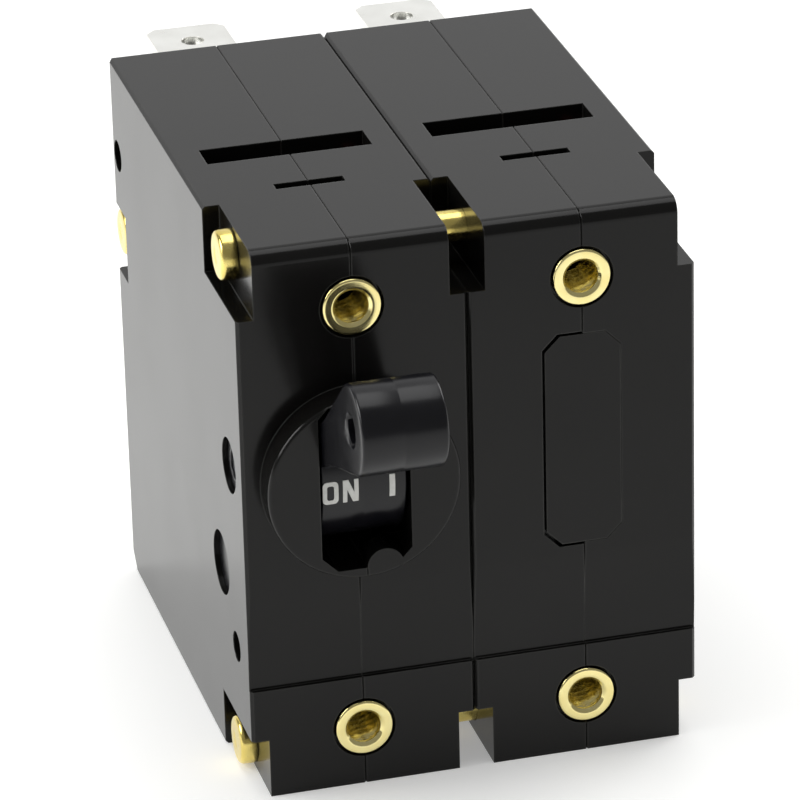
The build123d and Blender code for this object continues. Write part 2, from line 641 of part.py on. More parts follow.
# Common trip --------------------------------------------------------------------------
def trip_bar():
    """Moulded bar through both poles, turning in the case walls."""
    end = POLE_PITCH - 0.5
    return rod_x(TRIP_Y, TRIP_Z, TRIP_BAR_R, (-end, end))


def trip_lever():
    """Ring on the trip bar, with a finger under the striker and a latch arm."""
    width = (-2.5, 2.5)
    ring = rod_x(TRIP_Y, TRIP_Z, TRIP_BAR_R + 1.1, width)
    ring += block((-1.5, 1.5), (TRIP_Y, 13.6), (18.5, 19.55))
    ring += block((-1.2, 1.2), (TRIP_Y + 0.5, TRIP_Y + 1.7), (TRIP_Z, 25.5))
    return ring - rod_x(TRIP_Y, TRIP_Z, TRIP_BAR_R + 0.01, (-3.5, 3.5))


def write_case():
    """Write the case halves and what fastens or closes them."""
    for pole in POLES:
        write(f"case_left_{pole}", place(pole, half_case(pole, -1)))
        write(f"case_right_{pole}", place(pole, half_case(pole, 1)))
    write("panel_inserts", *(place(pole, panel_insert(z)) for pole in POLES for z in INSERT_Z))
    write("case_rivets", *(rivet(*seat) for seat in RIVET_SEATS))
    write("slot_plug", place(2, slot_plug()))


def write_handle():
    """Write the handle and everything that turns with it."""
    end = POLE_PITCH - 0.6
    rod = Pos(0, -ROW_MID_Y, 0) * rod_x(PIVOT_Y, PIVOT_Z, ROD_R - 0.01, (-end, end))
    write("handle", place(1, handle()))
    write("handle_legend", *(place(1, mark) for mark in legend()))
    write("blank_hub", place(2, hub_and_crank()))
    write("coupling_rod", rod)
    write("crank_pins", *(place(pole, crank_pin()) for pole in POLES))
    write("handle_spring", place(1, handle_spring()))


def write_pole(pole):
    """Write one pole's working parts."""
    contact_y = BLADE_Y[1] + CONTACT_T
    parts = {
        "toggle_link": toggle_link(),
        "contact_arm": contact_arm(),
        "moving_contact": contact_button((BLADE_Y[1], contact_y)),
        "fixed_contact": contact_button((contact_y + CONTACT_GAP, LINE_LEG_Y)),
        "arm_spring": arm_spring(),
        "braid": braid(),
        "line_terminal": line_terminal(),
        "load_terminal": load_terminal(),
        "dashpot_tube": dashpot_tube(),
        "pole_piece": pole_piece(),
        "core": core(),
        "core_spring": core_spring(),
        "bobbin": bobbin(),
        "coil": coil(),
        "magnet_frame": magnet_frame(),
        "armature": armature(),
        "armature_spring": armature_spring(),
    }
    for name, shape in parts.items():
        write(f"{name}_{pole}", place(pole, shape))
    write(f"arc_plates_{pole}", *(place(pole, arc_plate(i)) for i in range(ARC_PLATES)))
    write(f"arc_chute_sides_{pole}", *(place(pole, arc_side(side)) for side in (-1, 1)))


def write_shared():
    """Write the pins that repeat in both poles, and the common trip."""
    write("arm_pins", *(place(pole, arm_pin()) for pole in POLES))
    write("armature_pins", *(place(pole, armature_pin()) for pole in POLES))
    write("trip_bar", Pos(0, -ROW_MID_Y, 0) * trip_bar())
    write("trip_levers", *(place(pole, trip_lever()) for pole in POLES))


os.makedirs("parts", exist_ok=True)
write_case()
write_handle()
for number in POLES:
    write_pole(number)
write_shared()
print("row mid y", round(ROW_MID_Y, 4), "pivot row y", round(PIVOT_Y - ROW_MID_Y, 4))
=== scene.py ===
"""Two-pole toggle circuit breaker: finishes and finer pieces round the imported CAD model, in metres."""
import json
import logging
from dataclasses import dataclass, field
from enum import Enum
from math import cos, pi, radians, sin

import bpy
import numpy as np
from mathutils import Matrix, Vector


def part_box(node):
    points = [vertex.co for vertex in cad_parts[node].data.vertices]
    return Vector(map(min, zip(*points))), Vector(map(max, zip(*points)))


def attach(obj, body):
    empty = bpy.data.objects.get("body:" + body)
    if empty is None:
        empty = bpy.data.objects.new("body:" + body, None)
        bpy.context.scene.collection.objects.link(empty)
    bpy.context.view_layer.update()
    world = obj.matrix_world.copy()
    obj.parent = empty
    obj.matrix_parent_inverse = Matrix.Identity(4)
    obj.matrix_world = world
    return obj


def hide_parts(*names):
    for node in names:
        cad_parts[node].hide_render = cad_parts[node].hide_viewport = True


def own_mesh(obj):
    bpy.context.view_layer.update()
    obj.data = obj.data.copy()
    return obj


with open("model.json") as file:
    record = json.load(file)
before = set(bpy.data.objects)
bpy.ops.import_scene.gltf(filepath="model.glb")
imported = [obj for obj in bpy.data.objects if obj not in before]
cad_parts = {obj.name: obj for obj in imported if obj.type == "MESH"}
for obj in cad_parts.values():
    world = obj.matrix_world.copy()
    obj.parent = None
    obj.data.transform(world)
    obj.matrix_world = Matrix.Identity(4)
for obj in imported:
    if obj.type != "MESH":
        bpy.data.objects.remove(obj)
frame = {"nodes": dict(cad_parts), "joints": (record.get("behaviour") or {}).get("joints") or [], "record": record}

LOG = logging.getLogger("breaker")
MM = 0.001

Array = np.ndarray
Socket = bpy.types.NodeSocket


# Colour and nodes ---------------------------------------------------------------------
def linear(hex_code: str) -> tuple[float, float, float, float]:
    """Turns an sRGB hex colour to linear: c / 12.92 in the toe, ((c + 0.055) / 1.055) ^ 2.4 above it.

    Args:
        hex_code: six hex digits.

    Returns:
        Linear red, green, blue and an alpha of one.
    """
    c = np.array([int(hex_code[i:i + 2], 16) for i in (0, 2, 4)]) / 255
    lin = np.where(c <= 0.04045, c / 12.92, ((c + 0.055) / 1.055) ** 2.4)
    return (*lin.tolist(), 1.0)


def add_node(tree: bpy.types.NodeTree, kind: str, settings: dict | None = None,
             links: dict | None = None, **props) -> bpy.types.Node:
    """Adds one node to a tree.

    Args:
        tree: the tree that gets the node.
        kind: the node's type, without its "ShaderNode" prefix.
        settings: input name or index to constant value.
        links: input name or index to the output socket that feeds it.
        props: the node's own properties.

    Returns:
        The new node.
    """
    node = tree.nodes.new("ShaderNode" + kind)
    for key, value in props.items():
        setattr(node, key, value)
    for key, value in (settings or {}).items():
        node.inputs[key].default_value = value
    for key, source in (links or {}).items():
        tree.links.new(source, node.inputs[key])
    return node


class Surface(Enum):
    """How a surface was made, which sets its relief."""

    MOULDED = "fine isotropic grain of a spark-eroded mould"
    BRUSHED = "scratches that run one way"
    TURNED = "tool lines round the axis"
    WOVEN = "crossing strands"
    PRINTED = "stamped ink with pinholes"
    LACQUERED = "smooth coat over wire"


@dataclass(frozen=True)
class Finish:
    """A procedural finish: two close tones, mottled roughness, relief, softened edges lightened partly by wear and
    partly by a painted highlight.

    Attributes:
        name: common name of the material and of how it was made.
        slot: the record's material slot.
        tones: darker and lighter sRGB tone of the clean surface.
        roughness: middle roughness.
        surface: how the surface was made.
        metallic: 1 for bare metal.
        ior: index of refraction of a plastic or ink; metal keeps the default.
        mottle_mm: size of the colour and gloss patches.
        spread: how far the patches move the roughness either way.
        grain_mm: width of the relief's grains, lines or strands.
        depth_mm: depth of the relief.
        stretch: how much longer the grain is along X, Y and Z.
        edge_mm: radius that an edge is softened to.
        wear_and_highlight_tone: sRGB tone laid on the edges, partly wear and partly a painted highlight where
            edges catch light.
        wear_and_highlight_share: share of that tone on an edge, painted highlight and wear together.
        coat: weight of a clear coat.
    """

    name: str
    slot: str
    tones: tuple[str, str]
    roughness: float
    surface: Surface
    metallic: float = 0.0
    ior: float = 1.5
    mottle_mm: float = 5.0
    spread: float = 0.05
    grain_mm: float = 0.25
    depth_mm: float = 0.004
    stretch: tuple[float, float, float] = (1.0, 1.0, 1.0)
    edge_mm: float = 0.15
    # light tone painted on edges: partly wear, partly a painted highlight
    wear_and_highlight_tone: str = "8A8A86"
    wear_and_highlight_share: float = 0.3
    coat: float = 0.0

    def noise(self, tree: bpy.types.NodeTree, coords: Socket, size_mm: float, detail: float) -> Socket:
        """Noise whose patches are size_mm across."""
        settings = {"Scale": 1 / (size_mm * MM), "Detail": detail, "Roughness": 0.55}
        return add_node(tree, "TexNoise", settings, {"Vector": coords}).outputs["Fac"]

    def relief(self, tree: bpy.types.NodeTree, coords: Socket) -> Socket:
        """Height of the surface's relief.

        Args:
            tree: the material's tree.
            coords: object coordinates, in metres.

        Returns:
            A socket from 0, low, to 1, high.
        """
        if self.surface is Surface.TURNED:
            lay = add_node(tree, "Attribute", attribute_name="lay", attribute_type="GEOMETRY")
            line = {"Scale": 1 / (self.grain_mm * MM), "Detail": 2.0}
            rings = add_node(tree, "TexNoise", line, {"W": lay.outputs["Fac"]}, noise_dimensions="1D")
            return rings.outputs["Fac"]
        if self.surface is Surface.WOVEN:
            ways = [add_node(tree, "TexWave", {"Scale": 0.5 / (self.grain_mm * MM), "Distortion": 0.4},
                             {"Vector": coords}, bands_direction=way).outputs["Fac"] for way in ("X", "Z")]
            return add_node(tree, "Math", links={0: ways[0], 1: ways[1]}, operation="MAXIMUM").outputs[0]
        squeeze = tuple(1 / s for s in self.stretch)
        grain = add_node(tree, "Mapping", {"Scale": squeeze}, {"Vector": coords}).outputs[0]
        fine = self.noise(tree, grain, self.grain_mm, 3.0)
        if self.surface is not Surface.MOULDED:
            return fine
        broad = self.noise(tree, coords, 14 * self.grain_mm, 1.0)
        return add_node(tree, "Mix", {0: 0.35}, {2: fine, 3: broad}).outputs[0]

    def edges(self, tree: bpy.types.NodeTree, patches: Socket) -> Socket:
        """Mask of edges lightened partly by wear and partly by a painted highlight: one minus the cosine between
        the flat and the widely softened normal.

        Args:
            tree: the material's tree.
            patches: noise that breaks the lightened line up.

        Returns:
            A socket from 0, untouched, to 1, a fully lightened edge.
        """
        flat = add_node(tree, "NewGeometry").outputs["Normal"]
        soft = add_node(tree, "Bevel", {"Radius": 1.6 * self.edge_mm * MM}, samples=4).outputs[0]
        turn = add_node(tree, "VectorMath", links={0: flat, 1: soft}, operation="DOT_PRODUCT").outputs[1]
        # the more an edge turns, the more painted highlight and wear it gets
        bent = add_node(tree, "MapRange", {1: 0.985, 2: 0.86, 3: 0.0, 4: self.wear_and_highlight_share}, {0: turn}).outputs[0]
        spots = add_node(tree, "MapRange", {1: 0.35, 2: 0.6, 3: 0.35, 4: 1.0}, {0: patches}).outputs[0]
        return add_node(tree, "Math", links={0: bent, 1: spots}, operation="MULTIPLY").outputs[0]

    def build(self) -> bpy.types.Material:
        """Makes the material from its nodes, all on object coordinates in metres."""
        material = bpy.data.materials.new(self.name)
        material.use_nodes = True
        tree = material.node_tree
        shader = tree.nodes["Principled BSDF"]
        coords = add_node(tree, "TexCoord").outputs["Object"]
        patches = self.noise(tree, coords, self.mottle_mm, 5.0)
        # edges lightened by wear and by a painted highlight
        rubbed_and_highlit = self.edges(tree, patches)
        dark, light = (linear(tone) for tone in self.tones)
        clean = add_node(tree, "Mix", {6: dark, 7: light}, {0: patches}, data_type="RGBA").outputs[2]
        # light edge tone: wear plus a painted highlight along the edges
        wear_and_highlight_tone = linear(self.wear_and_highlight_tone)
        tone = add_node(tree, "Mix", {7: wear_and_highlight_tone}, {0: rubbed_and_highlit, 6: clean}, data_type="RGBA").outputs[2]
        span = {1: 0.3, 2: 0.7, 3: self.roughness - self.spread, 4: self.roughness + self.spread}
        gloss = add_node(tree, "MapRange", span, {0: patches}).outputs[0]
        soft = add_node(tree, "Bevel", {"Radius": self.edge_mm * MM}, samples=4).outputs[0]
        bump = add_node(tree, "Bump", {"Strength": 1.0, "Distance": self.depth_mm * MM},
                        {"Height": self.relief(tree, coords), "Normal": soft}).outputs[0]
        for name, source in {"Base Color": tone, "Roughness": gloss, "Normal": bump}.items():
            tree.links.new(source, shader.inputs[name])
        shader.inputs["Metallic"].default_value = self.metallic
        if not self.metallic:
            shader.inputs["IOR"].default_value = self.ior
        shader.inputs["Coat Weight"].default_value = self.coat
        return material


# Surfaces -----------------------------------------------------------------------------
def grid_faces(rows: int, columns: int, wrap_rows: bool) -> Array:
    """Quads of a grid whose columns close on themselves.

    Args:
        rows: points along the profile.
        columns: points round.
        wrap_rows: whether the last row joins the first.

    Returns:
        One row of four vertex numbers for each face.
    """
    i = np.arange(rows if wrap_rows else rows - 1)[:, None]
    j = np.arange(columns)[None, :]
    down, across = (i + 1) % rows, (j + 1) % columns
    corners = (i * columns + j, i * columns + across, down * columns + across, down * columns + j)
    return np.stack([np.broadcast_to(c, (len(i), columns)) for c in corners], -1).reshape(-1, 4)


@dataclass
class Shell:
    """A closed surface: its points, its faces and an attribute along the tool's path."""

    points: Array
    faces: list[list[int]]
    lay: Array

    @classmethod
    def from_grid(cls, grid: Array, lay: Array, closed: bool) -> "Shell":
        """Makes a shell from a grid of points, with a fan at each open end.

        Args:
            grid: rows x columns x 3 points, closed along the columns.
            lay: one number for each row.
            closed: whether the rows close too, as on a ring.

        Returns:
            The shell, with its faces outwards.
        """
        rows, columns, _ = grid.shape
        points = grid.reshape(-1, 3)
        lays = np.repeat(lay, columns)
        faces = grid_faces(rows, columns, closed).tolist()
        if not closed:
            ends = np.stack([grid[0].mean(0), grid[-1].mean(0)])
            first, around = np.arange(columns), (np.arange(columns) + 1) % columns
            last = (rows - 1) * columns
            start = np.stack([around, first, np.full(columns, rows * columns)], 1)
            stop = np.stack([last + first, last + around, np.full(columns, rows * columns + 1)], 1)
            faces += start.tolist() + stop.tolist()
            points, lays = np.vstack([points, ends]), np.append(lays, lay[[0, -1]])
        return cls(points, faces, lays).outward()

    def outward(self) -> "Shell":
        """Flips the faces where the volume, a sum of a . (b x c) / 6 over the triangles, is negative."""
        corner = np.array([f[:3] for f in self.faces])
        other = np.array([[f[0], f[2], f[3]] for f in self.faces if len(f) == 4]).reshape(-1, 3)
        a, b, c = (self.points[np.vstack([corner, other])[:, k]] for k in range(3))
        if np.einsum("ij,ij->i", a, np.cross(b, c)).sum() < 0:
            self.faces = [f[::-1] for f in self.faces]
        return self

    def piece(self, name: str, sharp: float = 40.0) -> bpy.types.Object:
        """Puts the shell into an object at the origin.

        Args:
            name: the piece's name.
            sharp: edges that turn by more degrees than this stay crisp.

        Returns:
            The new object.
        """
        mesh = bpy.data.meshes.new(name)
        mesh.from_pydata(self.points.tolist(), [], self.faces)
        mesh.polygons.foreach_set("use_smooth", np.ones(len(mesh.polygons), bool))
        mesh.set_sharp_from_angle(angle=radians(sharp))
        lay = mesh.attributes.new("lay", "FLOAT", "POINT")
        lay.data.foreach_set("value", self.lay.astype(np.float32))
        mesh.validate()
        obj = bpy.data.objects.new(name, mesh)
        bpy.context.scene.collection.objects.link(obj)
        return obj


def travelled(profile: Array) -> Array:
    """Distance along a profile up to each of its points."""
    return np.append(0.0, np.cumsum(np.linalg.norm(np.diff(profile, axis=0), axis=1)))


def fillet_profile(corners: list[tuple[float, float, float]], steps: int = 7) -> Array:
    """Rounds each corner of an open profile with a quadratic curve.

    At a corner c with neighbours a and b the curve is (1 - t)^2 p + 2 t (1 - t) c + t^2 q, where p and q
    lie on the two legs, at the corner's own setback from c or at half the leg, whichever is less.

    Args:
        corners: (along, radius, setback) of each corner.
        steps: points on each rounded corner.

    Returns:
        The rounded profile's points.
    """
    spot = np.array([c[:2] for c in corners], float)
    made = [spot[:1]]
    t = np.linspace(0, 1, steps)[:, None]
    for k in range(1, len(spot) - 1):
        legs = spot[[k - 1, k + 1]] - spot[k]
        length = np.linalg.norm(legs, axis=1)
        back = np.minimum(corners[k][2], 0.49 * length)
        p, q = spot[k] + legs * (back / length)[:, None]
        made.append((1 - t) ** 2 * p + 2 * t * (1 - t) * spot[k] + t ** 2 * q)
    return np.vstack(made + [spot[-1:]])


def turned(profile: Array, axis: int, centre: Array, segments: int, closed: bool = False,
           thread: tuple[float, float, float, float] | None = None) -> Shell:
    """Turns a profile about an axis: the point at (a, r) and angle f is centre + a e + r (u cos f + v sin f).

    Between the thread's two radii the radius becomes r + h |2 frac(a / p - f / 2 pi) - 1|, a V groove of
    depth h and pitch p that climbs one pitch a turn.

    Args:
        profile: (along, radius) points in metres.
        axis: 0, 1 or 2 for X, Y or Z.
        centre: a point on the axis.
        segments: points round.
        closed: whether the profile is a loop, as on a ring.
        thread: bore radius below which the thread is cut, pitch, depth, and length of lead-in; or None.

    Returns:
        The turned shell.
    """
    f = np.linspace(0, 2 * pi, segments, endpoint=False)[None, :]
    along, radius = (np.broadcast_to(profile[:, k:k + 1], (len(profile), segments)) for k in (0, 1))
    if thread:
        bore, pitch, depth, lead = thread
        groove = np.abs(2 * np.mod(along / pitch - f / (2 * pi), 1) - 1)
        inside = (radius < bore * 1.001) * np.clip((along - along[radius < bore * 1.001].min()) / lead, 0, 1)
        radius = radius + depth * groove * inside
    grid = np.zeros((*radius.shape, 3))
    grid[..., axis] = along
    grid[..., (axis + 1) % 3] = radius * np.cos(f)
    grid[..., (axis + 2) % 3] = radius * np.sin(f)
    return Shell.from_grid(grid + centre, travelled(profile), closed)


def swept_plate(outline: Array, core: Array, across: Array, centre_x: float, bore: float) -> Shell:
    """A plate swept along X from an outline that is star-shaped about its core.

    Row k of the grid is the outline moved in by the edge's inset d_k at x_k: p(s) - d_k n(s), with n the
    outline's outward normal. Further rows run in along the side faces to the bore, or to the core.

    Args:
        outline: closed loop of (y, z) points.
        core: (y, z) of the bore's centre.
        across: (x, inset) points of the rim, from one side face to the other.
        centre_x: x of the plate's middle.
        bore: radius of the bore, or 0 for a solid plate.

    Returns:
        The plate's shell.
    """
    tangent = np.roll(outline, -1, 0) - np.roll(outline, 1, 0)
    normal = np.stack([tangent[:, 1], -tangent[:, 0]], 1)
    normal /= np.linalg.norm(normal, axis=1, keepdims=True)
    normal *= np.sign(np.sum(normal * (outline - core), 1).mean())
    rim = outline[None] - across[:, 1, None, None] * normal[None]
    away = outline - core
    circle = core + bore * away / np.linalg.norm(away, axis=1, keepdims=True)
    share = np.array([0.0, 0.04, 0.12, 0.3, 0.6]) if bore else np.array([0.02, 0.3, 0.6])
    share = share[:, None, None]
    first = circle * (1 - share) + rim[0] * share
    last = circle * (1 - share[::-1]) + rim[-1] * share[::-1]
    rows = np.concatenate([first, rim, last])
    flat = np.ones(len(share))
    x = np.concatenate([across[0, 0] * flat, across[:, 0], across[-1, 0] * flat])
    if bore:  # rounded mouth of the bore
        lead = 0.12 * MM
        x[0], x[-1] = x[0] - np.sign(x[0]) * lead, x[-1] - np.sign(x[-1]) * lead
    grid = np.concatenate([np.broadcast_to(x[:, None, None], (*rows.shape[:2], 1)) + centre_x, rows], -1)
    return Shell.from_grid(grid, np.linspace(0, 1, len(grid)), bool(bore))


def rounded_rim(half: float, edge: float, parting: float = 0.0) -> Array:
    """Rim of a plate: quarter rounds x = h - e (1 - sin a), inset = e (1 - cos a), and a fine parting groove.

    Args:
        half: half the plate's width.
        edge: radius of the rounded edges.
        parting: depth of the groove in the middle, or 0.

    Returns:
        (x, inset) points from one side face to the other.
    """
    a = np.linspace(pi / 2, 0, 7)
    left = np.stack([-half + edge * (1 - np.sin(a)), edge * (1 - np.cos(a))], 1)
    middle = np.array([[-0.09, 0.0], [-0.03, parting / MM], [0.03, parting / MM], [0.09, 0.0]]) * MM
    right = left[::-1] * (-1, 1)
    return np.concatenate([left, middle, right])


def woven_tube(path: Array, radius: float, relief: float, strands: int, pitch: float, segments: int) -> Shell:
    """A round braid carried along a path.

    At distance s and angle f the radius is r + h max(cos(n f + k s), cos(n f - k s)), with n the strands
    each way and k = 2 pi n / pitch. The frame round the path is the cross product of its direction and
    one fixed slanting direction, which no stretch of the path runs along, and the third axis.

    Args:
        path: points of the centreline.
        radius: mean radius.
        relief: height of the strands.
        strands: strands each way round.
        pitch: length of one full turn of a strand.
        segments: points round.

    Returns:
        The braid's shell.
    """
    tangent = np.gradient(path, axis=0)
    tangent /= np.linalg.norm(tangent, axis=1, keepdims=True)
    slant = (0.31, 0.11, 0.94)
    side = np.cross(tangent, slant)
    side /= np.linalg.norm(side, axis=1, keepdims=True)
    up = np.cross(side, tangent)
    s = travelled(path)[:, None]
    f = np.linspace(0, 2 * pi, segments, endpoint=False)[None]
    k = 2 * pi * strands / pitch
    r = radius + relief * np.maximum(np.cos(strands * f + k * s), np.cos(strands * f - k * s))
    ring = np.cos(f)[..., None] * side[:, None] + np.sin(f)[..., None] * up[:, None]
    return Shell.from_grid(path[:, None] + r[..., None] * ring, s[:, 0], False)


# Finishes -----------------------------------------------------------------------------
# Real grain, tool lines and scratches are 0.02 to 0.05 mm wide, too fine to show: grain_mm draws them a few
# times coarser, at 0.06 to 0.3 mm, with the real depth of a few microns.
# Each finish's pale edge tone is painted on its edges: partly wear, partly a painted highlight where edges catch
# light.
FINISHES = (
    # Thermoset pressed in a polished steel mould: nearly black, with a soft mirror off its smooth skin.
    Finish("moulded_black_thermoset", "case_thermoset", ("090908", "151413"), 0.17, Surface.MOULDED,
           ior=1.31, mottle_mm=9, spread=0.02, grain_mm=0.3, depth_mm=0.0012, edge_mm=0.12,
           wear_and_highlight_tone="6A6A66", wear_and_highlight_share=0.3),
    # Injection-moulded nylon: a shade cooler and glossier, with sharper highlights on its round tip.
    Finish("moulded_black_nylon", "handle_nylon", ("0A0A0D", "131317"), 0.24, Surface.MOULDED,
           ior=1.38, mottle_mm=3, spread=0.03, grain_mm=0.2, depth_mm=0.0015, edge_mm=0.08,
           wear_and_highlight_tone="5C5C62", wear_and_highlight_share=0.3),
    # Stamped white ink, chalky and a little thin in places.
    Finish("stamped_white_ink", "legend_ink", ("B9B9B4", "E4E4E0"), 0.6, Surface.PRINTED,
           ior=1.48, mottle_mm=0.5, grain_mm=0.12, depth_mm=0.004, edge_mm=0.03, wear_and_highlight_tone="8E8E8A", wear_and_highlight_share=0.5),
    # Free-cutting brass off a lathe: bright, with faint rings round the axis.
    Finish("turned_brass", "insert_brass", ("EAD888", "FDF2B6"), 0.16, Surface.TURNED, metallic=1,
           mottle_mm=1.6, spread=0.05, grain_mm=0.11, depth_mm=0.0025, edge_mm=0.06, wear_and_highlight_tone="FFF2C2", wear_and_highlight_share=0.5),
    # Brass headed by a forming tool: burnished crown with small dents and darker hollows.
    Finish("headed_brass", "rivet_brass", ("DABE58", "F6E694"), 0.22, Surface.MOULDED, metallic=1,
           mottle_mm=1.2, spread=0.08, grain_mm=0.3, depth_mm=0.008, edge_mm=0.06, wear_and_highlight_tone="FFF0BE", wear_and_highlight_share=0.4),
    # Copper strip with a matt tin coat: pale and silky, drawn lengthways.
    Finish("tinned_copper", "tinned_copper", ("E8E8E2", "FAFAF7"), 0.32, Surface.BRUSHED, metallic=1,
           mottle_mm=3, spread=0.07, grain_mm=0.1, depth_mm=0.003, stretch=(1, 14, 1), edge_mm=0.1,
           wear_and_highlight_tone="FAF3E6", wear_and_highlight_share=0.4),
    # Stamped copper, rolled along its length and starting to brown.
    Finish("stamped_copper", "plain_copper", ("A86A4C", "D99A7C"), 0.33, Surface.BRUSHED, metallic=1,
           mottle_mm=2, grain_mm=0.12, depth_mm=0.003, stretch=(1, 1, 12), edge_mm=0.08, wear_and_highlight_tone="F2C0A4"),
    # Bare copper braid, dull where the strands cross.
    Finish("braided_copper", "copper_braid", ("8E5236", "D8946E"), 0.4, Surface.WOVEN, metallic=1,
           mottle_mm=0.8, grain_mm=0.12, depth_mm=0.01, edge_mm=0.03, wear_and_highlight_tone="EDB795"),
    # Copper wire under baked enamel: deep amber with a wet gloss.
    Finish("enamelled_wire", "enamelled_wire", ("6E2C14", "A4501F"), 0.28, Surface.LACQUERED, metallic=1,
           mottle_mm=4, grain_mm=0.4, depth_mm=0.003, edge_mm=0.05, wear_and_highlight_tone="C97A45", wear_and_highlight_share=0.2, coat=0.9),
    # Silver alloy button, softly domed by its press.
    Finish("pressed_silver", "silver_contact", ("C9C6BE", "EEEBE4"), 0.26, Surface.MOULDED, metallic=1,
           mottle_mm=1, grain_mm=0.1, depth_mm=0.003, edge_mm=0.08, wear_and_highlight_tone="FFFFFF"),
    # Mild steel with bright zinc: cool grey, rolled lines under the plate.
    Finish("zinc_plated_steel", "plated_steel", ("9EA1A4", "C9CBCC"), 0.34, Surface.BRUSHED, metallic=1,
           mottle_mm=2.5, spread=0.08, grain_mm=0.12, depth_mm=0.003, stretch=(8, 1, 1), edge_mm=0.08,
           wear_and_highlight_tone="E6E8E9"),
    # Ground steel pins: dense fine scratches round the pin.
    Finish("ground_steel", "pin_steel", ("8A8D92", "B4B7BB"), 0.24, Surface.BRUSHED, metallic=1,
           mottle_mm=2, grain_mm=0.08, depth_mm=0.002, stretch=(0.5, 6, 6), edge_mm=0.05, wear_and_highlight_tone="D9DBDE"),
    # Drawn spring wire with a thin oil-dark skin.
    Finish("drawn_spring_wire", "spring_wire", ("6E7074", "A3A5A8"), 0.3, Surface.BRUSHED, metallic=1,
           mottle_mm=1, grain_mm=0.06, depth_mm=0.002, stretch=(4, 4, 1), edge_mm=0.03, wear_and_highlight_tone="C9CBCE"),
    # Thin drawn brass tube, dulled by handling.
    Finish("drawn_brass_tube", "tube_brass", ("A98E4C", "D9C07A"), 0.28, Surface.BRUSHED, metallic=1,
           mottle_mm=3, grain_mm=0.1, depth_mm=0.002, stretch=(1, 12, 1), edge_mm=0.08, wear_and_highlight_tone="F0DEA6"),
    # Natural nylon: milky cream with a waxy sheen.
    Finish("moulded_natural_nylon", "bobbin_nylon", ("C3B795", "DDD3B8"), 0.42, Surface.MOULDED,
           ior=1.53, mottle_mm=4, grain_mm=0.2, depth_mm=0.003, wear_and_highlight_tone="EFE8D6", wear_and_highlight_share=0.25),
    # Vulcanised fibre sheet: brick red, with felted fibres showing.
    Finish("vulcanised_fibre", "chute_fibre", ("6A2019", "8C3529"), 0.62, Surface.BRUSHED,
           mottle_mm=1.5, spread=0.08, grain_mm=0.18, depth_mm=0.01, stretch=(1, 5, 1.5), edge_mm=0.05,
           wear_and_highlight_tone="B0695C"),
)


# Sub-assemblies -----------------------------------------------------------------------
@dataclass
class SubAssembly:
    """Pieces that ride on one body and take the record's slots.

    Attributes:
        materials: slot name to its material.
        made: names of the pieces built so far.
    """

    materials: dict[str, bpy.types.Material]
    made: list[str] = field(default_factory=list, init=False)

    def mount(self, shell: Shell, name: str, slot: str, body: str, *nodes: str) -> bpy.types.Object:
        """Turns a shell into a finished piece.

        Args:
            shell: the piece's surface, in place.
            name: the piece's name.
            slot: the record's material slot.
            body: the CAD body it moves with.
            nodes: the CAD nodes it stands for.

        Returns:
            The piece.
        """
        piece = shell.piece(name)
        piece.data.materials.append(self.materials[slot])
        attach(piece, body)
        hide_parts(*nodes)
        self.made.append(name)
        return piece


@dataclass
class PanelInserts(SubAssembly):
    """Flanged brass inserts on the corners of the panel screws' pattern."""

    flange_radius: float = 2.45 * MM
    body_radius: float = 2.0 * MM
    bore_radius: float = 1.4 * MM
    flange_thickness: float = 1.0 * MM
    length: float = 4.8 * MM
    proud: float = 0.15 * MM
    thread_pitch: float = 0.79 * MM
    thread_depth: float = 0.36 * MM
    segments: int = 96

    def section(self) -> Array:
        """Closed section (depth behind the face, radius), from the bore's mouth round to its far end."""
        crown, bore, edge = -self.proud, self.bore_radius, self.flange_radius
        back = self.flange_thickness - self.proud
        ring = fillet_profile([
            (crown + 0.28 * MM, bore, 0), (crown + 0.02 * MM, bore + 0.26 * MM, 0.1 * MM),
            (crown, 0.5 * (bore + edge), 0.3 * MM), (crown + 0.03 * MM, edge, 0.34 * MM),
            (back, edge, 0.08 * MM), (back, self.body_radius, 0.05 * MM),
            (self.length, self.body_radius, 0.2 * MM), (self.length, bore, 0)])
        depth = np.linspace(self.length, crown + 0.28 * MM, 84)[1:-1]
        return np.vstack([ring, np.stack([depth, np.full_like(depth, bore)], 1)])

    def build(self, pattern: dict) -> None:
        """Places an insert on each corner of the screw pattern that the record gives."""
        centre, dims = Vector(pattern["pos_m"]), pattern["dims"]
        wide, tall = dims["spacing_x_mm"] * MM / 2, dims["spacing_y_mm"] * MM / 2
        thread = (self.bore_radius, self.thread_pitch, self.thread_depth, 0.5 * MM)
        for level, z in (("base", -tall), ("top", tall)):
            for pole, x in ((1, -wide), (2, wide)):
                spot = np.array(centre + Vector((x, 0, z)))
                shell = turned(self.section(), 1, spot, self.segments, True, thread)
                self.mount(shell, f"panel_insert_{level}_{pole}", "insert_brass", "case", "panel_inserts")


